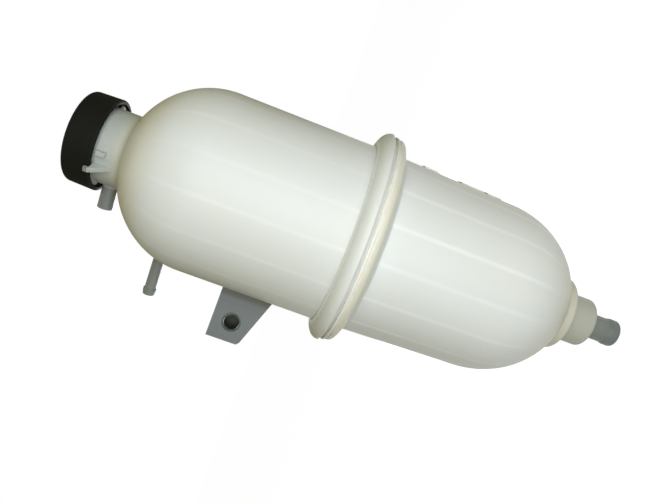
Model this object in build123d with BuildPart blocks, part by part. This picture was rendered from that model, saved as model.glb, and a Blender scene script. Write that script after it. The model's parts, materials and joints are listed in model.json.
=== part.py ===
from build123d import *
import os
from math import cos, radians, sin, sqrt

# Coolant expansion tank with a screwed pressure cap, in millimetres.
# The tank stands upright on its own axis, Z, with the filler cap on top.
# The origin is the open end of the outlet spigot, at the very bottom.
# The front of the tank faces -Y and the mounting lug is on the -X side.

os.makedirs("parts", exist_ok=True)

# Walls and running clearances
wall = 3.0
slide_gap = 0.06
face_gap = 0.05
loose_gap = 0.4

# Outlet end of the lower half
spigot_length = 24.7
spigot_radius = 9.3
spigot_wall = 2.8
bead_length = 6.0
bead_ramp = 3.0
spigot_bead = 0.8
small_boss_radius = 18.1
small_boss_height = 22.1
large_boss_radius = 27.3
boss_round = 3.0
dome_stand_off = 0.5

# Upper half of the tank
upper_radius = 64.9
upper_straight = 110.2
upper_dome = 61.3

# Lower half, which is a little slimmer and tapers towards the outlet
half_step = 0.2
lower_draft = 2.7
lower_straight = 93.2
lower_dome = 66.6

# Welded joint between the halves
flange_reach = 10.2
flange_wall = 5.0
crest_reach = 2.0
crest_height = 4.0
upper_flare = 12.1
lower_flare = 9.5
lower_lip = 4.5
lip_round = 3.5
weld_bead = 0.8
weld_bead_height = 1.2
weld_bead_round = 0.6
weld_groove = 1.4

# Long ribs inside both halves
rib_count = 16
rib_width = 2.0
rib_depth = 2.2
rib_phase = 14.0
rib_root = 1.0

# Filler neck and its two-start thread
neck_radius = 26.5
neck_above_dome = 23.6
neck_round = 5.0
thread_starts = 2
thread_lead = 10.0
thread_height = 8.0
thread_root = 1.4
thread_tip = 0.7
thread_depth = 2.5
thread_bite = 0.3
thread_top_gap = 3.0

# Cap stop on the neck, a gusset that carries a finger beside the skirt
stop_angle = 36.0
stop_width = 3.2
stop_finger = 2.2
stop_reach = 2.6
stop_foot = 12.0
tooth_angle = 17.0
tooth_width = 4.0
tooth_depth = 2.6
tooth_length = 7.0
tooth_taper = 8.0

# Hose nipples, both turned a little to the rear of the lug side
nipple_azimuth = 165.0
overflow_radius = 5.3
overflow_bore = 3.2
overflow_length = 17.0
overflow_drop = 19.4
degas_radius = 3.9
degas_bead = 0.7
degas_bore = 2.2
degas_length = 29.9
degas_rise = 19.0
degas_bead_land = 1.8
degas_bead_tip = 2.7
degas_bead_taper = 10.0

# Mounting lug and its closed steel bush, which plugs onto a peg of the bracket
lug_front = 10.0
lug_depth = 20.0
lug_plate = 3.0
lug_wall = 2.5
lug_slope_wall = 3.5
lug_boss_wall = 2.5
lug_top = 14.5
lug_outer = 14.4
lug_corner = 10.5
lug_root_drop = 25.0
lug_corner_cut = 2.0
bush_reach = 24.0
bush_height = 64.1
bush_radius = 7.0
bush_bore = 5.5
bush_bevel = 0.5
bush_length = 17.0
bush_end = 1.5
bush_proud = 0.4

# Bare raised pads for the level marks, on the side away from the lug
pad_azimuth = -16.0
pad_arc = 13.0
pad_height = 0.9
pad_drops = [(30.0, 10.0), (62.0, 17.0), (78.5, 11.0)]

# Cap shell
thread_play = 1.1
cap_draft = 0.8
cap_crown = 7.0
skirt_overlap = 12.9
skirt_wall = 2.6
cap_top_round = 2.8
cap_rim_round = 1.2

# Cap insert, which holds the valves and stays still while the shell turns
plug_depth = 13.6
plug_gap = 0.6
insert_play = 1.5
insert_flange = 1.7
gasket_thickness = 1.4
gasket_overhang = 0.7
plug_wall = 5.3
floor_thickness = 2.2
port_radius = 6.8
seat_step = 0.6
seat_width = 1.2
seat_height = 0.8
o_ring_section = 1.25
o_ring_drop = 6.0
groove_side = 0.25
slip_washer_height = 0.5
retainer_width = 2.2
retainer_height = 1.1
retainer_split = 2.0
slip_washer_width = 9.5

# Pressure relief valve
relief_seal_inside = 1.4
relief_seal_outside = 1.6
relief_seal_height = 1.4
relief_plate_edge = 1.3
relief_plate_height = 1.6
hub_radius = 5.5
hub_height = 3.0
hub_bevel = 0.75
vent_count = 4
vent_radius = 0.9
vent_circle = 3.5
hub_play = 0.5
relief_wire = 0.6
relief_turns = 4
spring_seat_height = 2.0
spring_seat_sink = 0.6
clip_play = 1.2
slot_count = 3
slot_length = 4.0
slot_width = 2.0
slot_circle = 12.5

# Vacuum valve, which hangs through the middle of the relief valve
stem_radius = 1.6
stem_groove_depth = 0.4
head_play = 0.8
head_height = 1.0
vacuum_seal_height = 1.0
vacuum_seal_edge = 0.2
stem_play = 0.65
vacuum_wire = 0.25
vacuum_turns = 4
vacuum_spring_length = 3.6
clip_edge = 0.65
clip_height = 0.8
stem_end = 0.5

# Heights along the axis, counted up from the outlet
large_boss_z = spigot_length + small_boss_height
lower_pole_z = large_boss_z + dome_stand_off
lower_dome_z = lower_pole_z + lower_dome
weld_z = lower_dome_z + lower_straight
shoulder_z = weld_z + upper_straight
upper_pole_z = shoulder_z + upper_dome
rim_z = upper_pole_z + neck_above_dome
cap_rim_z = rim_z - skirt_overlap
cap_top_z = rim_z + cap_crown
crest_z = weld_z + crest_height
thread_z = rim_z - thread_top_gap - thread_height
floor_z = rim_z - plug_depth + floor_thickness
plate_z = floor_z + seat_height + relief_seal_height
plate_top_z = plate_z + relief_plate_height
insert_top_z = rim_z + gasket_thickness + insert_flange
spring_top_z = insert_top_z - spring_seat_sink - spring_seat_height

# Radii that follow from the walls, steps and clearances
spigot_bore = spigot_radius - spigot_wall
bead_radius = spigot_radius + spigot_bead
lower_radius = upper_radius - half_step
lower_end_radius = lower_radius - lower_draft
flange_radius = upper_radius + flange_reach
crest_radius = flange_radius + crest_reach
lip_bore = flange_radius - flange_wall
bush_offset = upper_radius + bush_reach
degas_reach = upper_radius + degas_length
neck_bore = neck_radius - wall
overflow_reach = neck_radius + overflow_length
skirt_radius = neck_radius + thread_depth + thread_play
cap_radius = skirt_radius + skirt_wall
plug_radius = neck_bore - plug_gap
cavity_radius = plug_radius - plug_wall
insert_flange_radius = skirt_radius - insert_play
seat_inner = port_radius + seat_step
seat_outer = seat_inner + seat_width
relief_seal_inner = seat_inner - relief_seal_inside
relief_seal_outer = seat_outer + relief_seal_outside
relief_plate_radius = relief_seal_outer + relief_plate_edge
relief_spring_radius = hub_radius + hub_play + relief_wire
head_radius = relief_seal_inner - head_play
vacuum_seal_radius = head_radius - vacuum_seal_edge
vacuum_spring_radius = stem_radius + stem_play + vacuum_wire
clip_radius = vacuum_spring_radius + vacuum_wire + clip_edge
spring_seat_hole = clip_radius + clip_play
stem_groove = stem_radius - stem_groove_depth


def ellipse_height(radius, half_width, half_height):
    """Height above the ellipse's centre of the point that lies at this radius."""
    return half_height * sqrt(1 - (radius / half_width) ** 2)


def dome_curve(middle_z, half_width, rise):
    """Quarter of a dome's ellipse from its pole to its side. A negative rise points down."""
    pull = 4 / 3 * (sqrt(2) - 1)
    pole_z = middle_z + rise
    return Bezier(
        (0, pole_z),
        (pull * half_width, pole_z),
        (half_width, middle_z + pull * rise),
        (half_width, middle_z),
    )


def lip_curve(foot_radius, lip_radius, foot_z):
    """Quarter ellipse from the crest of the upper lip to the foot of its flare."""
    width = lip_radius - foot_radius
    return EllipticalCenterArc((foot_radius, crest_z), width, foot_z - crest_z, arc_size=90)


def flare_inside(foot, lip):
    """Inner corners of the lower flare: its sloping outer line moved up by the wall."""
    slope = (lip[1] - foot[1]) / (lip[0] - foot[0])
    shift = wall * sqrt(1 + slope**2)
    radii = (foot[0] - wall, lip_bore)
    return [(radius, foot[1] + slope * (radius - foot[0]) + shift) for radius in radii]


def ring_edges(builder, radius, height, near=0.05):
    """Circular edges of the part at this radius and height, to round or bevel."""
    return (
        builder.edges()
        .filter_by(GeomType.CIRCLE)
        .filter_by(lambda e: abs(e.radius - radius) < near)
        .filter_by(lambda e: abs(e.arc_center.Z - height) < near)
        .filter_by(lambda e: abs(e.arc_center.X) < near)
    )


def radial_plane(azimuth, radius, height):
    """Plane that looks outwards along a radius of the tank, with its own Y upwards."""
    outwards = (cos(radians(azimuth)), sin(radians(azimuth)), 0)
    sideways = (-sin(radians(azimuth)), cos(radians(azimuth)), 0)
    origin = (radius * outwards[0], radius * outwards[1], height)
    return Plane(origin=origin, x_dir=sideways, z_dir=outwards)


def helix_coil(radius, wire, turns, bottom, top):
    """Coil spring between two heights, one solid. Six flats stand for the round wire."""
    low = bottom + wire
    high = top - wire
    with BuildPart() as coil:
        with BuildLine() as path:
            turn = Helix(
                pitch=(high - low) / turns, height=high - low, radius=radius, center=(0, 0, low)
            )
        with BuildSketch(Plane(origin=turn @ 0, x_dir=(1, 0, 0), z_dir=turn % 0)):
            RegularPolygon(wire, 6)
        sweep(path=path.wires()[0], is_frenet=True)
    return coil.part


def thread_ridge(root_radius, tip_radius, bottom):
    """One start of the coarse thread: a tapered ridge swept along a helix."""
    with BuildPart() as ridge:
        with BuildLine() as path:
            turn = Helix(
                pitch=thread_lead, height=thread_height, radius=root_radius, center=(0, 0, bottom)
            )
        with BuildSketch(Plane(origin=turn @ 0, x_dir=(1, 0, 0), z_dir=turn % 0)):
            with BuildLine():
                Polyline(
                    (0, -thread_root),
                    (tip_radius - root_radius, -thread_tip),
                    (tip_radius - root_radius, thread_tip),
                    (0, thread_root),
                    close=True,
                )
            make_face()
        sweep(path=path.wires()[0], is_frenet=True)
    return ridge.part


# Inner ribs
# Each rib follows the inside of its half, from the flare to the dome.

lower_taper = (lower_radius - lower_end_radius) / lower_straight
lower_flare_z = weld_z - lower_flare
upper_flare_z = weld_z + upper_flare
lower_foot = (lower_end_radius + lower_taper * (lower_straight - lower_flare), lower_flare_z)
lower_crest = (flange_radius, weld_z - lower_lip)

with BuildPart() as lower_rib:
    with BuildSketch(Plane.XZ):
        with BuildLine():
            root = lower_end_radius - wall + rib_root
            bend = dome_curve(lower_dome_z, root, -(lower_dome - wall + rib_root))
            rib_top = (root + lower_taper * (lower_straight - lower_flare), lower_flare_z - wall)
            Polyline(bend @ 1, rib_top, (0, rib_top[1]), bend @ 0)
        make_face()
        with BuildLine():
            tip = lower_end_radius - wall - rib_depth
            bend = dome_curve(lower_dome_z, tip, -(lower_dome - wall - rib_depth))
            rib_side = rib_top[0] - rib_root - rib_depth
            Polyline(bend @ 1, (rib_side, rib_top[1]), (0, rib_top[1]), bend @ 0)
        make_face(mode=Mode.SUBTRACT)
        with Locations((0, weld_z)):
            Rectangle(2 * (large_boss_radius + boss_round), 2 * weld_z, mode=Mode.SUBTRACT)
    extrude(amount=rib_width / 2, both=True)

with BuildPart() as upper_rib:
    with BuildSketch(Plane.XZ):
        with BuildLine():
            root = upper_radius - wall + rib_root
            bend = dome_curve(shoulder_z, root, upper_dome - wall + rib_root)
            rib_foot = upper_flare_z + wall
            Polyline(bend @ 0, (0, rib_foot), (root, rib_foot), bend @ 1)
        make_face()
        with BuildLine():
            tip = upper_radius - wall - rib_depth
            bend = dome_curve(shoulder_z, tip, upper_dome - wall - rib_depth)
            Polyline(bend @ 0, (0, rib_foot), (tip, rib_foot), bend @ 1)
        make_face(mode=Mode.SUBTRACT)
        with Locations((0, weld_z)):
            Rectangle(2 * (neck_radius + neck_round), 2 * rim_z, mode=Mode.SUBTRACT)
    extrude(amount=rib_width / 2, both=True)

# Lower half: stepped outlet, dome, tapered wall and weld lip

with BuildPart() as lower_shell:
    with BuildSketch(Plane.XZ):
        with BuildLine():
            bend = dome_curve(lower_dome_z, lower_end_radius, -lower_dome)
            Polyline(
                bend @ 1,
                lower_foot,
                lower_crest,
                (flange_radius, weld_z),
                (0, weld_z),
                bend @ 0,
            )
        make_face()
    revolve(axis=Axis.Z)
    fillet(ring_edges(lower_shell, flange_radius, weld_z - lower_lip), lip_round)
    chamfer(ring_edges(lower_shell, flange_radius, weld_z), weld_groove)

    # Stepped bosses of the outlet
    with BuildSketch(Plane.XY.offset(large_boss_z)):
        Circle(large_boss_radius)
    boss_rise = lower_dome - ellipse_height(large_boss_radius, lower_end_radius, lower_dome)
    extrude(amount=boss_rise + wall)
    with BuildSketch(Plane.XY.offset(spigot_length)):
        Circle(small_boss_radius)
    extrude(amount=small_boss_height)
    fillet(ring_edges(lower_shell, large_boss_radius, large_boss_z), boss_round)
    fillet(ring_edges(lower_shell, small_boss_radius, spigot_length), boss_round)

    # Spigot with its hose bead
    with BuildSketch(Plane.XZ):
        with BuildLine():
            Polyline(
                (0, 0),
                (bead_radius, 0),
                (bead_radius, bead_length),
                (spigot_radius, bead_length + bead_ramp),
                (spigot_radius, spigot_length),
                (0, spigot_length),
                close=True,
            )
        make_face()
    revolve(axis=Axis.Z)
    fillet(ring_edges(lower_shell, bead_radius, 0), 2 * (bead_radius - spigot_radius))

    # Bare level pads
    for drop, length in pad_drops:
        pad_low = lower_end_radius + lower_taper * (lower_straight - drop - length / 2)
        pad_high = lower_end_radius + lower_taper * (lower_straight - drop + length / 2)
        with BuildSketch(Plane.XZ.rotated((0, 0, pad_azimuth))):
            with BuildLine():
                Polyline(
                    (pad_low - wall / 2, weld_z - drop - length / 2),
                    (pad_low + pad_height, weld_z - drop - length / 2),
                    (pad_high + pad_height, weld_z - drop + length / 2),
                    (pad_high - wall / 2, weld_z - drop + length / 2),
                    close=True,
                )
            make_face()
        revolve(axis=Axis.Z, revolution_arc=pad_arc)

    # Chamber, with the wall kept even through the dome and the lip
    with BuildSketch(Plane.XZ):
        with BuildLine():
            bend = dome_curve(lower_dome_z, lower_end_radius - wall, wall - lower_dome)
            Polyline(
                bend @ 1,
                *flare_inside(lower_foot, lower_crest),
                (lip_bore, weld_z),
                (0, weld_z),
                bend @ 0,
            )
        make_face()
    revolve(axis=Axis.Z, mode=Mode.SUBTRACT)

    # Outlet passage, stepped like the outside
    with BuildSketch(Plane.XY.offset(large_boss_z + wall)):
        Circle(large_boss_radius - wall)
    extrude(amount=boss_rise, mode=Mode.SUBTRACT)
    with BuildSketch(Plane.XY.offset(spigot_length + wall)):
        Circle(small_boss_radius - wall)
    extrude(amount=small_boss_height, mode=Mode.SUBTRACT)
    with BuildSketch():
        Circle(spigot_bore)
    extrude(amount=spigot_length + wall, mode=Mode.SUBTRACT)

    with PolarLocations(0, rib_count, start_angle=rib_phase):
        add(lower_rib.part)
lower_shell.part.label = "lower_shell"
export_step(lower_shell.part, "parts/lower_shell.step")

# Upper half: wall, dome, filler neck, nipples and lug

bush_x = -bush_offset
bush_z = weld_z + bush_height
overflow_z = rim_z - overflow_drop
degas_z = shoulder_z + degas_rise

with BuildPart() as upper_shell:
    with BuildSketch(Plane.XZ) as upper_profile:
        with BuildLine():
            bend = dome_curve(shoulder_z, upper_radius, upper_dome)
            lip = lip_curve(upper_radius, crest_radius, upper_flare_z)
            Polyline(
                bend @ 0,
                (0, weld_z),
                (flange_radius - weld_groove, weld_z),
                (flange_radius - weld_groove, weld_z + 2 * weld_bead),
                lip @ 0,
            )
            Line(lip @ 1, bend @ 1)
        make_face()
        with Locations((neck_radius / 2, (shoulder_z + rim_z) / 2)):
            Rectangle(neck_radius, rim_z - shoulder_z)
        neck_foot = (neck_radius, shoulder_z + ellipse_height(neck_radius, upper_radius, upper_dome))
        fillet(upper_profile.vertices().sort_by_distance(neck_foot)[0], neck_round)
    revolve(axis=Axis.Z)

    # Weld bead that stands proud of the joint
    with BuildSketch(Plane.XY.offset(weld_z)):
        Circle(flange_radius + weld_bead)
    extrude(amount=weld_bead_height)
    fillet(ring_edges(upper_shell, flange_radius + weld_bead, weld_z + weld_bead_height), weld_bead_round)

    # Cap stop: gusset with its finger, and the tooth beside it
    with BuildSketch(Plane.XZ.rotated((0, 0, 180 - stop_angle + 90))):
        with BuildLine():
            finger_radius = cap_radius + 2 * loose_gap
            Polyline(
                (neck_bore + wall / 2, cap_rim_z - stop_foot),
                (neck_radius, cap_rim_z - stop_foot),
                (finger_radius + stop_finger, cap_rim_z - loose_gap),
                (finger_radius + stop_finger, cap_rim_z + stop_reach),
                (finger_radius, cap_rim_z + stop_reach),
                (finger_radius, cap_rim_z - loose_gap),
                (neck_bore + wall / 2, cap_rim_z - loose_gap),
                close=True,
            )
        make_face()
    extrude(amount=stop_width / 2, both=True)
    tooth_z = cap_rim_z - loose_gap - tooth_length / 2
    with BuildSketch(radial_plane(-90 - tooth_angle, neck_bore + wall / 2, tooth_z)):
        Rectangle(tooth_width, tooth_length)
    extrude(amount=tooth_depth + wall / 2, taper=tooth_taper)

    # Overflow nipple on the neck and degas nipple on the shoulder
    with BuildSketch(radial_plane(nipple_azimuth, overflow_reach, overflow_z)):
        Circle(overflow_radius)
    extrude(amount=neck_bore - overflow_reach)
    with BuildSketch(radial_plane(nipple_azimuth, degas_reach, degas_z)):
        Circle(degas_radius)
    extrude(amount=neck_bore - degas_reach)
    with BuildSketch(radial_plane(nipple_azimuth, degas_reach - degas_bead_tip, degas_z)):
        Circle(degas_radius + degas_bead)
    extrude(amount=-degas_bead_land)
    with BuildSketch(radial_plane(nipple_azimuth, degas_reach - degas_bead_tip, degas_z)):
        Circle(degas_radius + degas_bead)
    extrude(amount=degas_bead_tip, taper=degas_bead_taper)

    # Lug: front plate with walls behind it, round the bush's boss
    with BuildSketch(Plane.XZ.offset(-lug_front)):
        with BuildLine():
            lug_lines = Polyline(
                (-upper_radius + wall, bush_z + lug_top),
                (bush_x - lug_outer, bush_z + lug_top),
                (bush_x - lug_outer, bush_z - lug_corner + lug_corner_cut),
                (bush_x - lug_outer + lug_corner_cut, bush_z - lug_corner),
                (-upper_radius + wall, bush_z - lug_root_drop),
                close=True,
            )
        make_face()
    extrude(amount=-lug_depth)
    with BuildSketch(Plane.XZ.offset(-lug_front - lug_plate)):
        with BuildLine():
            Polyline(
                (-upper_radius + wall, bush_z + lug_top - lug_wall),
                (bush_x - lug_outer + lug_wall, bush_z + lug_top - lug_wall),
                (bush_x - lug_outer + lug_wall, bush_z - lug_corner + 2 * lug_corner_cut),
                (-upper_radius + wall, bush_z - lug_root_drop + lug_slope_wall),
                close=True,
            )
        make_face()
    extrude(amount=-lug_depth, mode=Mode.SUBTRACT)
    with BuildSketch(Plane.XZ.offset(-lug_front)):
        with Locations((bush_x, bush_z)):
            Circle(bush_radius + lug_boss_wall)
        with Locations(((bush_x - upper_radius) / 2, bush_z)):
            Rectangle(bush_offset - upper_radius + wall, lug_wall)
        with Locations((bush_x, bush_z + (lug_top - lug_corner) / 2)):
            Rectangle(lug_wall, lug_top + lug_corner - lug_wall)
    extrude(amount=-lug_depth)
    with BuildSketch(Plane.XZ.offset(-lug_front)):
        with Locations((bush_x, bush_z)):
            Circle(bush_radius)
    extrude(amount=-bush_length, mode=Mode.SUBTRACT)

    # Chamber
    with BuildSketch(Plane.XZ):
        with BuildLine():
            bend = dome_curve(shoulder_z, upper_radius - wall, upper_dome - wall)
            lip = lip_curve(upper_radius - wall, lip_bore, upper_flare_z - wall)
            Polyline(bend @ 0, (0, weld_z), (lip_bore, weld_z), lip @ 0)
            Line(lip @ 1, bend @ 1)
        make_face()
    revolve(axis=Axis.Z, mode=Mode.SUBTRACT)

    # Bores of the neck and the nipples
    with BuildSketch(Plane.XY.offset(shoulder_z)):
        Circle(neck_bore)
    extrude(amount=rim_z - shoulder_z, mode=Mode.SUBTRACT)
    with BuildSketch(radial_plane(nipple_azimuth, overflow_reach, overflow_z)):
        Circle(overflow_bore)
    extrude(amount=-overflow_reach, mode=Mode.SUBTRACT)
    with BuildSketch(radial_plane(nipple_azimuth, degas_reach, degas_z)):
        Circle(degas_bore)
    extrude(amount=-degas_reach, mode=Mode.SUBTRACT)

    with PolarLocations(0, rib_count, start_angle=rib_phase):
        add(upper_rib.part)

    neck_ridge = thread_ridge(neck_radius - thread_bite, neck_radius + thread_depth, thread_z)
    with PolarLocations(0, thread_starts):
        add(neck_ridge)
upper_shell.part.label = "upper_shell"
export_step(upper_shell.part, "parts/upper_shell.step")

# Steel bush of the lug, closed at its rear end
with BuildPart() as lug_bush:
    with BuildSketch(Plane.XZ.offset(-lug_front + bush_proud)):
        with Locations((bush_x, bush_z)):
            Circle(bush_radius)
    extrude(amount=-bush_length - bush_proud)
    with BuildSketch(Plane.XZ.offset(-lug_front + bush_proud)):
        with Locations((bush_x, bush_z)):
            Circle(bush_bore)
    extrude(amount=-bush_length - bush_proud + bush_end, mode=Mode.SUBTRACT)
    mouth = (
        lug_bush.edges()
        .filter_by(GeomType.CIRCLE)
        .filter_by(lambda e: abs(e.radius - bush_bore) < slide_gap)
        .sort_by(Axis.Y)[0]
    )
    chamfer(mouth, bush_bevel)
lug_bush.part.label = "lug_bush"
export_step(lug_bush.part, "parts/lug_bush.step")

# Cap shell with its inner thread and the groove for the retaining ring

ceiling_z = insert_top_z + slip_washer_height + face_gap
retainer_z = rim_z + gasket_thickness - face_gap - retainer_height

with BuildPart() as cap_shell:
    with BuildSketch(Plane.XZ):
        with BuildLine():
            Polyline(
                (0, cap_rim_z),
                (cap_radius, cap_rim_z),
                (cap_radius - cap_draft, cap_top_z),
                (0, cap_top_z),
                close=True,
            )
        make_face()
    revolve(axis=Axis.Z)
    fillet(ring_edges(cap_shell, cap_radius - cap_draft, cap_top_z), cap_top_round)
    fillet(ring_edges(cap_shell, cap_radius, cap_rim_z), cap_rim_round)
    with BuildSketch(Plane.XY.offset(cap_rim_z)):
        Circle(skirt_radius)
    extrude(amount=ceiling_z - cap_rim_z, mode=Mode.SUBTRACT)
    with BuildSketch(Plane.XY.offset(retainer_z - face_gap)):
        Circle(skirt_radius + retainer_width / 2)
    extrude(amount=retainer_height + 2 * face_gap, mode=Mode.SUBTRACT)
    cap_ridge = thread_ridge(skirt_radius + thread_bite, skirt_radius - thread_depth, thread_z)
    with PolarLocations(0, thread_starts, start_angle=180 / thread_starts):
        add(cap_ridge)
cap_shell.part.label = "cap_shell"
export_step(cap_shell.part, "parts/cap_shell.step")

# Split ring that keeps the insert in the shell
with BuildPart() as cap_retainer:
    with BuildSketch(Plane.XY.offset(retainer_z)):
        Circle(skirt_radius + retainer_width / 2 - face_gap)
        Circle(skirt_radius - retainer_width, mode=Mode.SUBTRACT)
        with Locations((skirt_radius, 0)):
            Rectangle(4 * retainer_width, retainer_split, mode=Mode.SUBTRACT)
    extrude(amount=retainer_height)
cap_retainer.part.label = "cap_retainer"
export_step(cap_retainer.part, "parts/cap_retainer.step")

# Cap insert: flange, plug, valve cavity, port and raised valve seat

groove_radius = neck_bore - slide_gap - 2 * o_ring_section
o_ring_z = rim_z - o_ring_drop

with BuildPart() as cap_insert:
    with BuildSketch(Plane.XY.offset(rim_z - plug_depth)):
        Circle(plug_radius)
    extrude(amount=insert_top_z - rim_z + plug_depth)
    with BuildSketch(Plane.XY.offset(rim_z + gasket_thickness)):
        Circle(insert_flange_radius)
    extrude(amount=insert_flange)
    chamfer(ring_edges(cap_insert, plug_radius, rim_z - plug_depth), plug_gap)
    with BuildSketch(Plane.XY.offset(floor_z)):
        Circle(cavity_radius)
    extrude(amount=insert_top_z - floor_z, mode=Mode.SUBTRACT)
    with BuildSketch(Plane.XY.offset(floor_z)):
        Circle(seat_outer)
    extrude(amount=seat_height)
    with BuildSketch(Plane.XY.offset(floor_z)):
        Circle(seat_inner)
    extrude(amount=seat_height, mode=Mode.SUBTRACT)
    with BuildSketch(Plane.XY.offset(rim_z - plug_depth)):
        Circle(port_radius)
    extrude(amount=floor_thickness, mode=Mode.SUBTRACT)
    with BuildSketch(Plane.XY.offset(o_ring_z - o_ring_section - groove_side)):
        Circle(plug_radius)
        Circle(groove_radius, mode=Mode.SUBTRACT)
    extrude(amount=2 * (o_ring_section + groove_side), mode=Mode.SUBTRACT)
cap_insert.part.label = "cap_insert"
export_step(cap_insert.part, "parts/cap_insert.step")

# O-ring that seals the plug in the neck's bore
with BuildPart() as neck_o_ring:
    with BuildSketch(Plane.XZ):
        with Locations((groove_radius + o_ring_section, o_ring_z)):
            Circle(o_ring_section)
    revolve(axis=Axis.Z)
neck_o_ring.part.label = "neck_o_ring"
export_step(neck_o_ring.part, "parts/neck_o_ring.step")

# Flat gasket on the neck's rim
with BuildPart() as cap_gasket:
    with BuildSketch(Plane.XY.offset(rim_z)):
        Circle(neck_radius + gasket_overhang)
        Circle(plug_radius, mode=Mode.SUBTRACT)
    extrude(amount=gasket_thickness)
cap_gasket.part.label = "cap_gasket"
export_step(cap_gasket.part, "parts/cap_gasket.step")

# Slip washer, on which the shell turns over the insert
with BuildPart() as slip_washer:
    with BuildSketch(Plane.XY.offset(insert_top_z)):
        Circle(insert_flange_radius)
        Circle(insert_flange_radius - slip_washer_width, mode=Mode.SUBTRACT)
    extrude(amount=slip_washer_height)
slip_washer.part.label = "slip_washer"
export_step(slip_washer.part, "parts/slip_washer.step")

# Relief valve plate with its spring hub, stem hole and vents
with BuildPart() as relief_plate:
    with BuildSketch(Plane.XY.offset(plate_z)):
        Circle(relief_plate_radius)
    extrude(amount=relief_plate_height)
    with BuildSketch(Plane.XY.offset(plate_top_z)):
        Circle(hub_radius)
    extrude(amount=hub_height)
    chamfer(ring_edges(relief_plate, hub_radius, plate_top_z + hub_height), hub_bevel)
    with BuildSketch(Plane.XY.offset(plate_z)):
        Circle(stem_radius + slide_gap)
        with PolarLocations(vent_circle, vent_count):
            Circle(vent_radius)
    extrude(amount=relief_plate_height + hub_height, mode=Mode.SUBTRACT)
relief_plate.part.label = "relief_plate"
export_step(relief_plate.part, "parts/relief_plate.step")

with BuildPart() as relief_seal:
    with BuildSketch(Plane.XY.offset(plate_z - relief_seal_height)):
        Circle(relief_seal_outer)
        Circle(relief_seal_inner, mode=Mode.SUBTRACT)
    extrude(amount=relief_seal_height)
relief_seal.part.label = "relief_seal"
export_step(relief_seal.part, "parts/relief_seal.step")

relief_spring = helix_coil(relief_spring_radius, relief_wire, relief_turns, plate_top_z, spring_top_z)
relief_spring.label = "relief_spring"
export_step(relief_spring, "parts/relief_spring.step")

# Spring seat, pressed into the mouth of the cavity, with slots that let steam past
with BuildPart() as spring_seat:
    with BuildSketch(Plane.XY.offset(spring_top_z)):
        Circle(cavity_radius)
        Circle(spring_seat_hole, mode=Mode.SUBTRACT)
        with PolarLocations(slot_circle, slot_count):
            SlotOverall(slot_length, slot_width, rotation=90, mode=Mode.SUBTRACT)
    extrude(amount=spring_seat_height)
spring_seat.part.label = "spring_seat"
export_step(spring_seat.part, "parts/spring_seat.step")

# Vacuum valve: stem and head in one piece, seal, spring and clip

hub_top_z = plate_top_z + hub_height
clip_z = hub_top_z + vacuum_spring_length
seal_z = plate_z - vacuum_seal_height

with BuildPart() as vacuum_stem:
    with BuildSketch(Plane.XY.offset(seal_z - head_height)):
        Circle(head_radius)
    extrude(amount=head_height)
    with BuildSketch(Plane.XY.offset(seal_z)):
        Circle(stem_radius)
    extrude(amount=clip_z + clip_height + stem_end - seal_z)
    with BuildSketch(Plane.XY.offset(clip_z)):
        Circle(stem_radius)
        Circle(stem_groove, mode=Mode.SUBTRACT)
    extrude(amount=clip_height, mode=Mode.SUBTRACT)
vacuum_stem.part.label = "vacuum_stem"
export_step(vacuum_stem.part, "parts/vacuum_stem.step")

with BuildPart() as vacuum_seal:
    with BuildSketch(Plane.XY.offset(seal_z)):
        Circle(vacuum_seal_radius)
        Circle(stem_radius, mode=Mode.SUBTRACT)
    extrude(amount=vacuum_seal_height)
vacuum_seal.part.label = "vacuum_seal"
export_step(vacuum_seal.part, "parts/vacuum_seal.step")

vacuum_spring = helix_coil(vacuum_spring_radius, vacuum_wire, vacuum_turns, hub_top_z, clip_z)
vacuum_spring.label = "vacuum_spring"
export_step(vacuum_spring, "parts/vacuum_spring.step")

with BuildPart() as vacuum_clip:
    with BuildSketch(Plane.XY.offset(clip_z)):
        Circle(clip_radius)
        Circle(stem_groove, mode=Mode.SUBTRACT)
        with Locations((clip_radius, 0)):
            Rectangle(2 * clip_radius, 2 * stem_groove, mode=Mode.SUBTRACT)
    extrude(amount=clip_height)
vacuum_clip.part.label = "vacuum_clip"
export_step(vacuum_clip.part, "parts/vacuum_clip.step")
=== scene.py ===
# %% [markdown]
# # A coolant expansion tank
# The real object is a pressure vessel of natural polypropylene, moulded in two halves
# that are welded at a flange. A black screwed cap closes the neck. The solid shapes
# come ready from the frame, at their real size. This lesson gives them their finishes,
# adds the fine round-wire springs, and sets up the light and the camera.

import json
from math import cos, pi, radians, sin

import bpy
import numpy as np
from mathutils import Matrix, Vector


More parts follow.
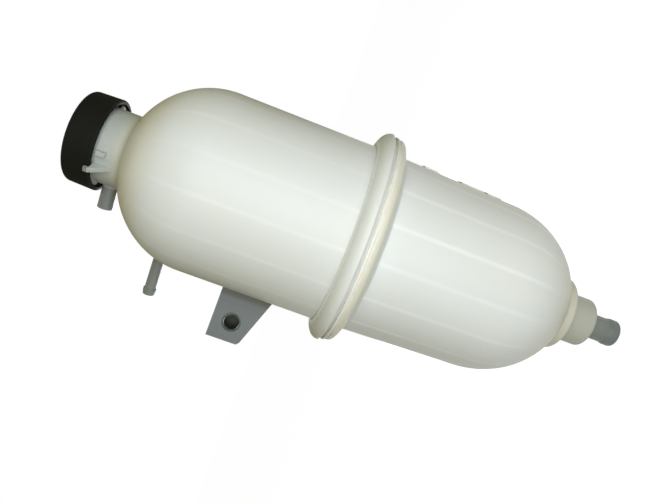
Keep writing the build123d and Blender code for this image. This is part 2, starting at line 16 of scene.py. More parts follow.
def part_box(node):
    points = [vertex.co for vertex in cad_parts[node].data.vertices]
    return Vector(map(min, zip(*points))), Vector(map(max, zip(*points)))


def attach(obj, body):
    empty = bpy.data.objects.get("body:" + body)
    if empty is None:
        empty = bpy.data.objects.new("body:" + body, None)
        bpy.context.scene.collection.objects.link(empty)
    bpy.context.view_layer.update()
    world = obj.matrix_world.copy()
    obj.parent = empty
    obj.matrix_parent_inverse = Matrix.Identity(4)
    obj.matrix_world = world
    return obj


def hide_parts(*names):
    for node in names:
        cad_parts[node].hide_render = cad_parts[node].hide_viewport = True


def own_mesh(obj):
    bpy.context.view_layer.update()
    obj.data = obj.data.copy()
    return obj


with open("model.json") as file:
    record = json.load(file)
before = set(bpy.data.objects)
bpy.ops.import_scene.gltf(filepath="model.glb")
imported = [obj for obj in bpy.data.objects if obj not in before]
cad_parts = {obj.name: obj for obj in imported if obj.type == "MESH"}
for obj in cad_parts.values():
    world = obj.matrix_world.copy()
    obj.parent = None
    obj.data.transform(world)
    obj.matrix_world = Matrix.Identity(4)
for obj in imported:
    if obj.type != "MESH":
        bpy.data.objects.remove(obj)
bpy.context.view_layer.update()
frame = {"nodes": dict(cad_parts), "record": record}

# %% [markdown]
# The main heights and radii are read from the frame, so the finishes follow the solids.
# The weld lies where the upper half begins, the rim is the neck's highest point, and the
# flange is the widest ring of the lower half.

# %% Sizes read from the frame
MM = 0.001
upper_low, upper_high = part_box("upper_shell")
bush_low, bush_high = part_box("lug_bush")
cap_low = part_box("cap_shell")[0]
weld_z = upper_low.z
rim_z = upper_high.z
flange_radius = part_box("lower_shell")[1].x
print("weld at", round(weld_z / MM, 1), "mm, rim at", round(rim_z / MM, 1), "mm")

# %% [markdown]
# Colours are given as sRGB hex values, but the shader works in linear light.
# One function turns a hex value into linear numbers. A second small function adds a
# node, sets its properties and makes its links, which keeps each material short.

# %% Colour and node helpers
def linear(hex_colour):
    """Linear RGBA of an sRGB hex value.

    Each channel c, from 0 to 1, becomes c / 12.92 up to 0.04045, and above that
    (c + 0.055) / 1.055 to the power 2.4. Alpha is 1.
    """
    channels = [int(hex_colour[i : i + 2], 16) / 255 for i in (1, 3, 5)]
    curved = [c / 12.92 if c <= 0.04045 else ((c + 0.055) / 1.055) ** 2.4 for c in channels]
    return curved + [1.0]


def add_node(tree, kind, inputs=(), **settings):
    """Add a node of this kind, set its properties, and fill or link each of its inputs."""
    made = tree.nodes.new(kind)
    for name, value in settings.items():
        setattr(made, name, value)
    for socket, value in dict(inputs).items():
        if isinstance(value, bpy.types.NodeSocket):
            tree.links.new(value, made.inputs[socket])
        else:
            made.inputs[socket].default_value = value
    return made


def new_material(name, roughness, ior=1.5, metallic=0.0, specular=0.5):
    """A material, its node tree and its shader, with the uniform values on its own sockets."""
    material = bpy.data.materials.new(name)
    material.use_nodes = True
    tree = material.node_tree
    shader = tree.nodes["Principled BSDF"]
    shader.inputs["Roughness"].default_value = roughness
    shader.inputs["Metallic"].default_value = metallic
    shader.inputs["Specular IOR Level"].default_value = specular
    if not metallic:
        shader.inputs["IOR"].default_value = ior
    return material, tree, shader


print("cream in linear light:", [round(c, 3) for c in linear("#e8e4d4")])

# %% [markdown]
# The photograph was taken from close by, with the tank lying at a slant across the
# picture. The tank stands upright in the frame, so the camera leans instead. Its place
# is found from five values: where the middle of the weld is seen from the camera, how
# far the axis leans in the picture, and how far it turns towards the camera.

# %% Camera
image_width = 665
focal_pixels = 555.6
sensor_mm = 36.0
weld_right = 17.95 * MM
weld_down = -9.81 * MM
weld_away = 400.0 * MM
axis_lean = 0.3547
axis_turn = 0.0948


def camera_matrix():
    """Place and turn of the camera in the tank's frame.

    In the camera's own directions (right, down, away) the tank's foot points along
    (cos turn cos lean, cos turn sin lean, sin turn). The front of the tank is the
    direction back to the camera with its part along the axis taken out, and the lug
    side is square to both. The rows of these three directions turn the camera's
    vectors into the tank's.
    """
    across = cos(axis_turn)
    foot = np.array([across * cos(axis_lean), across * sin(axis_lean), sin(axis_turn)])
    front = np.array([0.0, 0.0, -1.0])
    front -= front.dot(foot) * foot
    front /= np.linalg.norm(front)
    lug_side = np.cross(foot, front)
    to_tank = -np.array([lug_side, front, foot])
    place = -to_tank @ np.array([weld_right, weld_down, weld_away]) + (0, 0, weld_z)
    turn = to_tank @ np.diag([1, -1, -1])
    return Matrix(np.vstack([np.column_stack([turn, place]), (0, 0, 0, 1)]).tolist())


camera_data = bpy.data.cameras.new("camera")
camera_data.sensor_width = sensor_mm
camera_data.lens = sensor_mm * focal_pixels / image_width
camera_data.clip_start = 0.01
camera_data.clip_end = 50.0
camera = bpy.data.objects.new("camera", camera_data)
camera.matrix_world = camera_matrix()
bpy.context.scene.collection.objects.link(camera)
bpy.context.scene.camera = camera
print("camera at", [round(v / MM) for v in camera.matrix_world.translation], "mm")

# %% [markdown]
# Natural polypropylene has no pigment. Light enters the wall, scatters and comes out
# again, so the body looks milky: bluish white where the wall is even, creamier where
# the moulding is thick, as at the domes and the weld. Thin spouts and the lug let the
# light through and look grey. A real see-through wall would show the ribs inside, but
# it renders slowly and noisily. An opaque base with a little subsurface scattering
# looks just as milky, so the ribs are painted as soft paler lines where they show. All
# patterns read Object coordinates, in metres. Every point has a height z and a radius,
# its distance from the tank's axis, and most zones of colour are bands of these two.

# %% Place of a point on the tank
def tank_place(tree):
    """Object position, then x, y and z, and the radius: the length of (x, y, 0)."""
    place = add_node(tree, "ShaderNodeTexCoord").outputs["Object"]
    split = add_node(tree, "ShaderNodeSeparateXYZ", {0: place})
    flat = add_node(tree, "ShaderNodeVectorMath", {0: place, 1: (1, 1, 0)}, operation="MULTIPLY")
    radius = add_node(tree, "ShaderNodeVectorMath", {0: flat.outputs[0]}, operation="LENGTH")
    return place, split.outputs[0], split.outputs[1], split.outputs[2], radius.outputs[1]


print("a place gives 5 values: position, x, y, z and radius")

# %% [markdown]
# Sixteen long ribs stiffen the wall from inside. Through the milky wall each one shows
# as a soft pale line, and the panels between them differ a little in tone. The lines are
# painted where the photograph shows them, which is 2.5 degrees from the solid ribs. The
# angle about the axis is counted in rib spacings, so one Ping-Pong node gives the
# distance to the nearest rib, however many there are.

# %% Where the ribs lie
rib_count = 16
rib_phase = radians(11.5)
rib_half_width = 2.6 * MM


def rib_pattern(tree, x, y, radius):
    """How near a point is to a rib, from 0 to 1, and a random number for each panel.

    The angle about the axis, in rib spacings, runs from one rib to the next in steps
    of one. Its distance to a whole number, times the length of a spacing at this
    radius, is the distance to the nearest rib. The whole number below names the panel.
    """
    per_radian = rib_count / (2 * pi)
    angle = add_node(tree, "ShaderNodeMath", {0: y, 1: x}, operation="ARCTAN2").outputs[0]
    shifted = add_node(
        tree, "ShaderNodeMath", {0: angle, 1: -rib_phase}, operation="ADD"
    ).outputs[0]
    steps = add_node(
        tree, "ShaderNodeMath", {0: shifted, 1: per_radian}, operation="MULTIPLY"
    ).outputs[0]
    apart = add_node(tree, "ShaderNodeMath", {0: steps, 1: 0.5}, operation="PINGPONG").outputs[0]
    spacing = add_node(
        tree, "ShaderNodeMath", {0: radius, 1: 1 / per_radian}, operation="MULTIPLY"
    ).outputs[0]
    distance = add_node(
        tree, "ShaderNodeMath", {0: apart, 1: spacing}, operation="MULTIPLY"
    ).outputs[0]
    near = add_node(
        tree, "ShaderNodeMapRange", {0: distance, 1: 0.0, 2: rib_half_width, 3: 1.0, 4: 0.0},
        interpolation_type="SMOOTHERSTEP",
    ).outputs[0]
    panel = add_node(tree, "ShaderNodeMath", {0: steps}, operation="FLOOR").outputs[0]
    tone = add_node(tree, "ShaderNodeTexWhiteNoise", {"W": panel}, noise_dimensions="1D")
    return near, tone.outputs["Value"]


print("ribs:", rib_count, "every", 360 / rib_count, "degrees")

# %% [markdown]
# Each zone of the moulding has its own tone. A zone has a soft edge, made by a Map Range
# node, and the zones are laid over each other with Mix nodes, from the wall outwards.
# The next cells list the tones and the places where zones meet. A place is measured from
# one that the frame gives, or is a size of the moulding itself.

# %% Tones of the moulding
tone_wall_cool = "#e3e9ea"
tone_wall_cream = "#e0e2d8"
tone_rib = "#f8fafa"
tone_panel_dark = "#d6dad6"
tone_dome_foot = "#cfcdb9"
neck_grey_and_painted_shade = "#bcc2bd"
tone_boss = "#bcbfb2"
tone_lip = "#dadac9"
flare_painted_light = "#ffffff"
weld_bead_highlight_tone = "#f6f4ea"
tone_lug = "#6f7676"
lug_root_painted_shade = "#4f5140"
tone_spout = "#878d88"
print("wall between", tone_wall_cool, "and", tone_wall_cream)

# %% Heights and radii where zones meet
neck_foot_z = rim_z - 29 * MM
upper_dome_z = neck_foot_z - 34 * MM
degas_low_z = bush_high.z + 30 * MM
lower_dome_z = 92 * MM
boss_high_z = 47 * MM
spigot_high_z = 24.7 * MM
flange_half_height = 20 * MM
bead_low = -1.8 * MM
bead_high = 1.3 * MM
tank_radius = flange_radius - 10.2 * MM
neck_radius = 26.5 * MM
print("neck from", round(neck_foot_z / MM, 1), "mm, wall radius", round(tank_radius / MM, 1))
print("weld bead from", round(bead_low / MM, 1), "to", round(bead_high / MM, 1), "mm")

# %% A zone of colour
def zone(tree, value, start, end, under, tone, strength=1.0):
    """Lay a tone over a colour: none where the value is at start, its strength at end."""
    mask = add_node(
        tree, "ShaderNodeMapRange", {0: value, 1: start, 2: end, 3: 0.0, 4: strength},
        interpolation_type="SMOOTHSTEP",
    ).outputs[0]
    mixed = add_node(
        tree, "ShaderNodeMix", {0: mask, 6: under, 7: linear(tone)}, data_type="RGBA"
    )
    return mixed.outputs[2]


def lay_zones(tree, body, zones):
    """Lay tones over a colour, each where all its limits hold: its mask is their product."""
    for tone, strength, limits in zones:
        mask = limits[0]
        for limit in limits[1:]:
            mask = add_node(
                tree, "ShaderNodeMath", {0: mask, 1: limit}, operation="MULTIPLY"
            ).outputs[0]
        body = zone(tree, mask, 0.0, 1.0, body, tone, strength)
    return body


print("a zone adds two nodes, and one more for each further limit")

# %% [markdown]
# The wall drifts slowly between bluish and creamy white, in patches about 60 mm across
# that are longer along the axis, as the plastic flowed in the mould. The rib lines are
# strongest in the creamy patches of the lower half, and fade towards the bluish ones,
# the domes and the flange.

# %% Wall and rib lines
patch_size = 62.5 * MM
patch_squeeze = 0.45
dome_radius = 48 * MM
full_radius = 60 * MM
rib_low_z = 60 * MM


def wall_drift(tree, place):
    """A position squeezed along the axis, and slow noise on it from 0 to 1."""
    stretched = add_node(
        tree, "ShaderNodeMapping", {"Vector": place, "Scale": (1.0, 1.0, patch_squeeze)}
    ).outputs[0]
    drift = add_node(
        tree, "ShaderNodeTexNoise", {"Vector": stretched, "Scale": 1 / patch_size, "Detail": 3.0}
    ).outputs[0]
    return stretched, drift


def faded_ribs(tree, near_rib, drift, z, radius):
    """The rib lines' strength: nearness to a rib times five fades, each from 0 to 1.

    They fade above the weld, where the drift is bluish, on the domes by their smaller
    radius, on the flange by its larger one, and down the lower wall.
    """
    fades = [
        add_node(
            tree, "ShaderNodeMapRange", {0: z, 1: weld_z + 20 * MM, 2: weld_z, 3: 0.25, 4: 0.7}
        ),
        add_node(tree, "ShaderNodeMapRange", {0: drift, 1: 0.3, 2: 0.65, 3: 0.15, 4: 1.0}),
        add_node(
            tree, "ShaderNodeMapRange", {0: radius, 1: dome_radius, 2: full_radius},
            interpolation_type="SMOOTHSTEP",
        ),
        add_node(
            tree, "ShaderNodeMapRange",
            {0: radius, 1: tank_radius + 4 * MM, 2: tank_radius + 1.5 * MM},
        ),
        add_node(
            tree, "ShaderNodeMapRange", {0: z, 1: rib_low_z, 2: weld_z - 40 * MM, 3: 0.4, 4: 1.0}
        ),
    ]
    line = near_rib
    for fade in fades:
        line = add_node(
            tree, "ShaderNodeMath", {0: line, 1: fade.outputs[0]}, operation="MULTIPLY"
        ).outputs[0]
    return line


def wall_tones(tree, drift, panel_tone, rib_line, z):
    """The wall's colour: cool to cream by the drift, then panels, rib lines and dome ends."""
    body = add_node(
        tree, "ShaderNodeMix", {0: drift, 6: linear(tone_wall_cool), 7: linear(tone_wall_cream)},
        data_type="RGBA",
    ).outputs[2]
    body = zone(tree, panel_tone, 0.3, 1.0, body, tone_panel_dark, 0.35)
    body = add_node(
        tree, "ShaderNodeMix", {0: rib_line, 6: body, 7: linear(tone_rib)}, data_type="RGBA"
    ).outputs[2]
    body = zone(tree, z, upper_dome_z, neck_foot_z - 4 * MM, body, tone_dome_foot)
    return zone(tree, z, lower_dome_z, boss_high_z, body, tone_dome_foot, 0.9)


print("even wall from", round(lower_dome_z / MM, 1), "to", round(upper_dome_z / MM, 1), "mm")

# %% [markdown]
# The two halves are welded at the flange. The lip below the weld is thick and creamy.
# The flare above it is painted white, a painted light against the shade at its foot, so
# that it looks nearly as pale as the wall. The plastic that was squeezed out in welding
# makes one bead, painted bright as a painted highlight.

# %% Flange
def flange_tones(tree, body, z, radius):
    """Lay the lip, the flare and the weld bead over a colour. Also give the height off the weld.

    The lip is past the wall's radius and below the weld. The flare's painted light is above
    it, between the wall and the crest. The bead's painted highlight is a narrow band on
    both sides of the weld.
    """
    from_weld = add_node(
        tree, "ShaderNodeMath", {0: z, 1: weld_z}, operation="SUBTRACT"
    ).outputs[0]
    off_weld = add_node(tree, "ShaderNodeMath", {0: from_weld}, operation="ABSOLUTE").outputs[0]
    by_weld = add_node(
        tree, "ShaderNodeMath", {0: off_weld, 1: flange_half_height}, operation="LESS_THAN"
    ).outputs[0]
    below_weld = add_node(
        tree, "ShaderNodeMath", {0: from_weld, 1: 0.0}, operation="LESS_THAN"
    ).outputs[0]
    on_flange = add_node(
        tree, "ShaderNodeMapRange", {0: radius, 1: tank_radius + 1.5 * MM, 2: tank_radius + 5 * MM}
    ).outputs[0]
    off_crest = add_node(
        tree, "ShaderNodeMapRange",
        {0: radius, 1: tank_radius + 6.5 * MM, 2: tank_radius + 2 * MM},
        interpolation_type="SMOOTHSTEP",
    ).outputs[0]
    off_body = add_node(
        tree, "ShaderNodeMapRange",
        {0: radius, 1: tank_radius + 0.3 * MM, 2: tank_radius + 1.5 * MM},
    ).outputs[0]
    above_bead = add_node(
        tree, "ShaderNodeMapRange", {0: from_weld, 1: 2.5 * MM, 2: 5 * MM}
    ).outputs[0]
    under_bead_top = add_node(
        tree, "ShaderNodeMapRange", {0: from_weld, 1: bead_high, 2: bead_high - 0.1 * MM}
    ).outputs[0]
    over_bead_foot = add_node(
        tree, "ShaderNodeMapRange", {0: from_weld, 1: bead_low, 2: bead_low + 0.8 * MM}
    ).outputs[0]
    zones = [
        (tone_lip, 1.0, (on_flange, by_weld, below_weld)),
        # painted light on the flare, against the shade at its foot
        (flare_painted_light, 1.0, (off_crest, off_body, by_weld, above_bead)),
        # painted highlight on the weld bead
        (weld_bead_highlight_tone, 1.0, (under_bead_top, over_bead_foot, on_flange, by_weld)),
    ]
    return lay_zones(tree, body, zones), off_weld


print("flange up to", round(flange_half_height / MM, 1), "mm from the weld")

# %% [markdown]
# The neck and the outlet's bosses are thicker than the wall and look greyer, and the neck's
# grey is partly painted shade. The spigot below them is thin, and darkens towards its
# open end.

# %% Neck and outlet
def end_tones(tree, body, z):
    """Lay the tones of the neck, the bosses and the spigot over a colour, by height."""
    # The neck's grey: thick plastic, and partly painted shade.
    body = zone(tree, z, neck_foot_z - 3 * MM, neck_foot_z + 9 * MM, body, neck_grey_and_painted_shade)
    body = zone(tree, z, boss_high_z + 3 * MM, boss_high_z - 2 * MM, body, tone_boss)
    body = zone(
        tree, z, spigot_high_z + 0.8 * MM, spigot_high_z - 0.8 * MM, body, tone_spout
    )
    return zone(tree, z, spigot_high_z - 4 * MM, spigot_high_z - 22 * MM, body, tone_lug, 0.6)


print("spigot below", round(spigot_high_z / MM, 1), "mm")

# %% [markdown]
# The lug and the two nipples stand out from the tank, so they are found by radius: past
# the wall and away from the flange, or past the neck. The lug is darkest at its root,
# where painted shade stands for the tank's own shade. The overflow nipple's grey is
# partly painted shade, and the neck's thread is painted dark as shade under the cap.

# %% Lug, nipples and thread
def outer_tones(tree, body, y, z, radius, off_weld):
    """Lay the lug, both nipples, and painted shade at the lug's root and on the thread, over a
    colour.

    A point is on the lug or the degas nipple where it is past the wall's radius and
    away from the flange, and on the nipple where it is also high. It is on the overflow
    nipple where it is past the neck's radius, above the neck's foot and to the rear.
    """
    off_flange = add_node(
        tree, "ShaderNodeMath", {0: off_weld, 1: flange_half_height}, operation="GREATER_THAN"
    ).outputs[0]
    beyond_wall = add_node(
        tree, "ShaderNodeMapRange", {0: radius, 1: tank_radius + 0.2 * MM, 2: tank_radius + 3 * MM}
    ).outputs[0]
    beyond_neck = add_node(
        tree, "ShaderNodeMapRange", {0: radius, 1: neck_radius + 0.3 * MM, 2: neck_radius + 2 * MM}
    ).outputs[0]
    painted_shade_by_root = add_node(
        tree, "ShaderNodeMapRange",
        {0: radius, 1: tank_radius + 9.5 * MM, 2: tank_radius + 3.5 * MM},
        interpolation_type="SMOOTHSTEP",
    ).outputs[0]
    high = add_node(
        tree, "ShaderNodeMath", {0: z, 1: degas_low_z}, operation="GREATER_THAN"
    ).outputs[0]
    on_neck = add_node(
        tree, "ShaderNodeMath", {0: z, 1: neck_foot_z + 3 * MM}, operation="GREATER_THAN"
    ).outputs[0]
    to_rear = add_node(
        tree, "ShaderNodeMath", {0: y, 1: -5 * MM}, operation="GREATER_THAN"
    ).outputs[0]
    thread_painted_shade_mask = add_node(
        tree, "ShaderNodeMath", {0: z, 1: cap_low.z}, operation="GREATER_THAN"
    ).outputs[0]
    zones = [
        (tone_lug, 1.0, (beyond_wall, off_flange)),
        # painted shade at the lug's root
        (lug_root_painted_shade, 0.8, (painted_shade_by_root, beyond_wall, off_flange)),
        (tone_spout, 1.0, (high, beyond_wall, off_flange)),
        # the overflow nipple, its grey partly painted shade
        (tone_lug, 0.8, (on_neck, beyond_neck, to_rear)),
        # painted shade on the thread under the cap
        (tone_spout, 0.9, (thread_painted_shade_mask, beyond_neck)),
    ]
    return lay_zones(tree, body, zones)


print("lug and nipples: past", round((tank_radius + 3 * MM) / MM, 1), "mm from the axis")

# %% [markdown]
# The mould leaves a faint texture of about 1.5 mm. The wall also has soft dents about
# 25 mm across, and swells a little over each rib. Light that scatters a few millimetres
# under the surface softens the edges, and blue least far, which warms the shade.

# %% Natural polypropylene
grain_size = 1.5385 * MM
dent_size = 25 * MM
dent_share = 4.0
surface_depth = 0.05 * MM
scatter_depth = 5 * MM


def natural_polypropylene():
    """Injection-moulded natural polypropylene: satin and milky, with a tone for each zone.

    The surface's height is the fine texture plus dent_share times the dents and rib lines.
    """
    material, tree, shader = new_material(
        "natural_polypropylene", roughness=0.42, ior=1.49, specular=0.45
    )
    place, x, y, z, radius = tank_place(tree)
    near_rib, panel_tone = rib_pattern(tree, x, y, radius)
    stretched, drift = wall_drift(tree, place)
    rib_line = faded_ribs(tree, near_rib, drift, z, radius)
    body = wall_tones(tree, drift, panel_tone, rib_line, z)
    body, off_weld = flange_tones(tree, body, z, radius)
    body = end_tones(tree, body, z)
    body = outer_tones(tree, body, y, z, radius, off_weld)
    tree.links.new(body, shader.inputs["Base Color"])

    grain = add_node(
        tree, "ShaderNodeTexNoise", {"Vector": place, "Scale": 1 / grain_size, "Detail": 2.0}
    ).outputs[0]
    dents = add_node(
        tree, "ShaderNodeTexNoise", {"Vector": stretched, "Scale": 1 / dent_size, "Detail": 1.0}
    ).outputs[0]
    swell = add_node(tree, "ShaderNodeMath", {0: dents, 1: rib_line}, operation="ADD").outputs[0]
    height = add_node(
        tree, "ShaderNodeMath", {0: swell, 1: dent_share, 2: grain}, operation="MULTIPLY_ADD"
    ).outputs[0]
    bump = add_node(
        tree, "ShaderNodeBump", {"Height": height, "Strength": 0.25, "Distance": surface_depth}
    )
    tree.links.new(bump.outputs[0], shader.inputs["Normal"])
    shader.inputs["Subsurface Weight"].default_value = 0.3
    shader.inputs["Subsurface Radius"].default_value = (1.0, 0.97, 0.7)
    shader.inputs["Subsurface Scale"].default_value = scatter_depth
    return material


polypropylene = natural_polypropylene()
print("material:", polypropylene.name, "with", len(polypropylene.node_tree.nodes), "nodes")

# %% [markdown]
# The other finishes are simple plastics, rubber and steel. The cap is moulded black
# polyamide with a fine even texture, so it is dark and only faintly shiny. The valve
# pieces are grey acetal, smooth and a little waxy. The slip washer is PTFE, a dull
# white, and the seals are matt black EPDM rubber. The springs are drawn steel, bright
# with fine marks. The bush is zinc-plated steel, bright just inside its mouth, where it
# catches the light. Its end face and its bore further in are painted dark, as painted
# shade.

# %% Other finishes
colour_drift_size = 16.667 * MM
# Painted shade on the bush's end face and deep in its bore.
bush_face_painted_shade, bush_bore_painted_shade = "#3d423d", "#232622"
bush_face_depth, bush_edge_depth = 0.1 * MM, 0.35 * MM
bush_mouth_depth, bush_bore_depth = 2.5 * MM, 5 * MM


def plain_finish(name, colours, roughness, grain_mm, depth_mm, metallic=0.0, specular=0.5):
    """A finish that drifts between two colours, with an even grain of this size and depth."""
    hex_low, hex_high = colours
    material, tree, shader = new_material(
        name, roughness, metallic=metallic, specular=specular
    )
    place = add_node(tree, "ShaderNodeTexCoord").outputs["Object"]
    drift = add_node(
        tree, "ShaderNodeTexNoise",
        {"Vector": place, "Scale": 1 / colour_drift_size, "Detail": 3.0},
    ).outputs[0]
    colour = add_node(
        tree, "ShaderNodeMix", {0: drift, 6: linear(hex_low), 7: linear(hex_high)}, data_type="RGBA"
    ).outputs[2]
    tree.links.new(colour, shader.inputs["Base Color"])
    grain = add_node(
        tree, "ShaderNodeTexNoise", {"Vector": place, "Scale": 1 / (grain_mm * MM), "Detail": 2.0}
    ).outputs[0]
    bump = add_node(
        tree, "ShaderNodeBump", {"Height": grain, "Strength": 0.3, "Distance": depth_mm * MM}
    )
    tree.links.new(bump.outputs[0], shader.inputs["Normal"])
    return material


def plated_bush():
    """Zinc-plated drawn steel, with painted shade set by the depth behind its front face."""
    material = plain_finish(
        "zinc_plated_steel", ("#c9ccc6", "#dcdfd8"),
        roughness=0.3, grain_mm=0.4, depth_mm=0.01, metallic=1.0,
    )
    tree = material.node_tree
    shader = tree.nodes["Principled BSDF"]
    colour = shader.inputs["Base Color"].links[0].from_socket
    place = add_node(tree, "ShaderNodeTexCoord").outputs["Object"]
    y = add_node(tree, "ShaderNodeSeparateXYZ", {0: place}).outputs[1]
    front = bush_low.y
    shaded_face_mask = add_node(
        tree, "ShaderNodeMapRange", {0: y, 1: front + bush_edge_depth, 2: front + bush_face_depth}
    ).outputs[0]
    shaded_bore_mask = add_node(
        tree, "ShaderNodeMapRange",
        {0: y, 1: front + bush_mouth_depth, 2: front + bush_bore_depth},
        interpolation_type="SMOOTHSTEP",
    ).outputs[0]
    # Painted shade: the end face and the bore past the mouth are darkened.
    for mask, tone in ((shaded_face_mask, bush_face_painted_shade), (shaded_bore_mask, bush_bore_painted_shade)):
        colour = add_node(
            tree, "ShaderNodeMix", {0: mask, 6: colour, 7: linear(tone)}, data_type="RGBA"
        ).outputs[2]
    tree.links.new(colour, shader.inputs["Base Color"])
    return material


# The printed depths bound the painted shade on the end face and in the bore.
print("bush dull to", round(bush_edge_depth / MM, 2), "mm, dark from", bush_bore_depth / MM)

# %% [markdown]
# Each solid names a material slot in the record, and each slot gets one finish.

# %% Give each node its finish
finishes = {
    "natural_pp": polypropylene,
    "black_plastic": plain_finish(
        "moulded_black_polyamide", ("#0f110d", "#161812"),
        roughness=0.7, grain_mm=0.9, depth_mm=0.05, specular=0.15,
    ),
    "valve_plastic": plain_finish(
        "moulded_grey_acetal", ("#303133", "#3a3b3c"), roughness=0.4, grain_mm=0.8, depth_mm=0.03
    ),
    "slip_plastic": plain_finish(
        "white_ptfe", ("#e4e4e0", "#f0f0ec"), roughness=0.45, grain_mm=0.8, depth_mm=0.02
    ),
    "black_rubber": plain_finish(
        "moulded_epdm_rubber", ("#141414", "#1c1c1b"), roughness=0.7, grain_mm=0.5, depth_mm=0.05
    ),
    "spring_steel": plain_finish(
        "drawn_spring_steel", ("#9d9d9f", "#b4b4b5"),
        roughness=0.3, grain_mm=0.3, depth_mm=0.01, metallic=1.0,
    ),
    "bush_steel": plated_bush(),
}
slot_of = {part["node"]: part["material_slot"] for part in frame["record"]["subparts"]}
for name, obj in frame["nodes"].items():
    obj.data.materials.clear()
    obj.data.materials.append(finishes[slot_of[name]])
print("finished nodes:", len(slot_of))

# %% [markdown]
# A coil spring is a round wire carried along a helix. The solids draw it with six
# flats, so two finer coils take their place. A wire's ring of points is carried along
# the helix, and all points are computed at once as one array.

# %% Round-wire coils
def coil_points(radius, wire, turns, low, high, along=40, around=12):
    """Points of a round wire on a helix.

    The middle line is (radius cos a, radius sin a, height) with a from 0 to 2 pi turns.
    Each ring lies in the plane of the outward direction and the direction square to
    that and to the wire: middle + wire (cos b outward + sin b sideways).
    """
    a = np.linspace(0, 2 * pi * turns, int(along * turns) + 1)[:, None]
    b = np.linspace(0, 2 * pi, around, endpoint=False)[None, :]
    rise = (high - low) / (2 * pi * turns)
    middle = np.stack([radius * np.cos(a), radius * np.sin(a), low + rise * a], axis=-1)
    outward = np.stack([np.cos(a), np.sin(a), 0 * a], axis=-1)
    forward = np.stack([-radius * np.sin(a), radius * np.cos(a), rise + 0 * a], axis=-1)
    forward /= np.linalg.norm(forward, axis=-1, keepdims=True)
    sideways = np.cross(forward, outward)
    return middle + wire * (np.cos(b)[..., None] * outward + np.sin(b)[..., None] * sideways)


def tube_mesh(name, points):
    """A closed tube over a grid of points, rows along it and columns around it, with flat ends."""
    rows, columns = points.shape[:2]
    index = np.arange(rows * columns).reshape(rows, columns)
    after = np.roll(index, -1, axis=1)
    quads = np.stack([index[:-1], after[:-1], after[1:], index[1:]], axis=-1).reshape(-1, 4)
    ends = [index[0][::-1].tolist(), index[-1].tolist()]
    mesh = bpy.data.meshes.new(name)
    mesh.from_pydata(points.reshape(-1, 3).tolist(), [], quads.tolist() + ends)
    mesh.shade_smooth()
    return mesh


def coil(name, node, body, turns, wire):
    """A round-wire coil that stands for a spring node, and rides on its body."""
    low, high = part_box(node)
    radius = high.x - wire
    points = coil_points(radius, wire, turns, low.z + wire, high.z - wire)
    piece = bpy.data.objects.new(name, tube_mesh(name, points))
    bpy.context.scene.collection.objects.link(piece)
    piece.data.materials.append(finishes["spring_steel"])
    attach(piece, body)
    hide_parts(node)
    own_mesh(piece)


coil(
    "relief_coil", "relief_spring", "cap_core",
    turns=4, wire=0.6 * MM,
)
coil(
    "vacuum_coil", "vacuum_spring", "relief_valve",
    turns=4, wire=0.25 * MM,
)

# %% [markdown]
# The floor and the surroundings are plain white to the camera, as in the photograph,
# and light the tank only gently, with a low warm fill. The floor keeps a soft shadow:
# the camera sees mostly its own glow, and the rest is the light that falls on it.

# %% Floor
floor_half = 12.0
floor_drop = 0.5 * MM
floor_tone = "#b4b4b4"
glow_colour = (0.93, 0.95, 1.0, 1.0)
glow_strength = 0.95


def white_floor():
    """A matt white floor whose glow only the camera and clear reflections see."""
    material, tree, shader = new_material("matt_white_floor", roughness=0.9)
    shader.inputs["Base Color"].default_value = linear(floor_tone)
    path = add_node(tree, "ShaderNodeLightPath")
    seen = add_node(
        tree, "ShaderNodeMath",
        {0: path.outputs["Is Camera Ray"], 1: path.outputs["Is Glossy Ray"]},
        operation="MAXIMUM",
    )
    glow = add_node(tree, "ShaderNodeEmission", {"Color": glow_colour, "Strength": glow_strength})
    dark = add_node(tree, "ShaderNodeEmission", {"Strength": 0.0})
    chosen = add_node(
        tree, "ShaderNodeMixShader", {0: seen.outputs[0], 1: dark.outputs[0], 2: glow.outputs[0]}
    )
    both = add_node(tree, "ShaderNodeAddShader", {0: shader.outputs[0], 1: chosen.outputs[0]})
    tree.links.new(both.outputs[0], tree.nodes["Material Output"].inputs["Surface"])
    return material


corners = [(-floor_half, -floor_half), (floor_half, -floor_half)]
corners += [(floor_half, floor_half), (-floor_half, floor_half)]
floor_mesh = bpy.data.meshes.new("floor")
floor_mesh.from_pydata([(x, y, -floor_drop) for x, y in corners], [], [(0, 1, 2, 3)])
floor_mesh.materials.append(white_floor())
floor = bpy.data.objects.new("floor", floor_mesh)
bpy.context.scene.collection.objects.link(floor)
print("floor at", -floor_drop / MM, "mm")

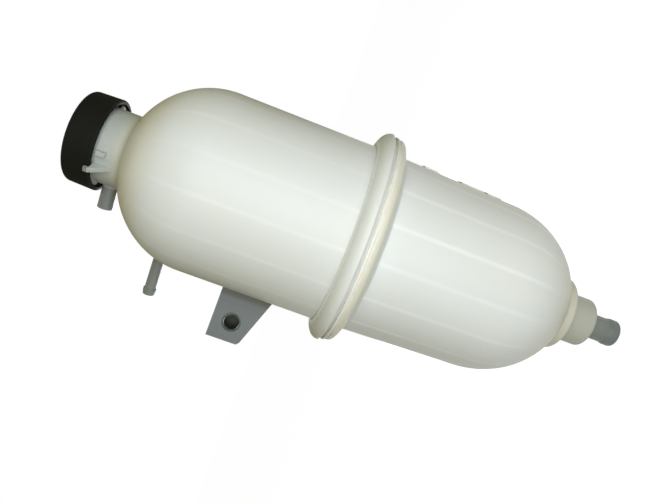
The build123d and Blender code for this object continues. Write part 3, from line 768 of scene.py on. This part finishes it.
# %% Surroundings
fill_colour = "#fdf09c"
fill_strength = 0.2

world = bpy.data.worlds.new("surroundings")
bpy.context.scene.world = world
world.use_nodes = True
sky = world.node_tree
path = add_node(sky, "ShaderNodeLightPath")
seen = add_node(
    sky, "ShaderNodeMath",
    {0: path.outputs["Is Camera Ray"], 1: path.outputs["Is Transmission Ray"]},
    operation="MAXIMUM",
)
fill = add_node(
    sky, "ShaderNodeBackground", {"Color": linear(fill_colour), "Strength": fill_strength}
)
white = add_node(sky, "ShaderNodeBackground", {"Color": (1, 1, 1, 1), "Strength": 1.0})
mixed = add_node(
    sky, "ShaderNodeMixShader", {0: seen.outputs[0], 1: fill.outputs[0], 2: white.outputs[0]}
)
sky.links.new(mixed.outputs[0], sky.nodes["World Output"].inputs["Surface"])
print("surroundings:", world.name, "with fill", fill_strength)

# %% [markdown]
# The photograph was lit from beside the camera, so faces turned to the camera are
# brightest and the outline falls dark. One soft lamp stands there. Another one faces it
# from behind, for whoever walks round the object, small enough to leave the outline
# dark. A weak one hangs above the cap.

# %% Lamps
def area_lamp(name, place, target, size, power, colour="#ffffff"):
    """A square lamp at a place, turned to face the target."""
    data = bpy.data.lights.new(name, "AREA")
    data.size = size
    data.energy = power
    data.color = linear(colour)[:3]
    lamp = bpy.data.objects.new(name, data)
    lamp.location = place
    lamp.rotation_euler = (Vector(target) - Vector(place)).to_track_quat("-Z", "Y").to_euler()
    bpy.context.scene.collection.objects.link(lamp)
    return lamp


area_lamp(
    "key", place=(0.02, -0.46, 0.26), target=(0, 0, 0.25), size=0.44, power=2.08, colour="#f4f7fd"
)
area_lamp("rear", place=(0.0, 0.75, 0.26), target=(0, 0, 0.26), size=0.3, power=3.3)
area_lamp("top", place=(0.0, 0.1, 1.2), target=(0, 0, 0.3), size=0.5, power=1.2)

# %% [markdown]
# The Standard view transform keeps written colours as they are.

# %% Finish
bpy.context.scene.view_settings.view_transform = "Standard"
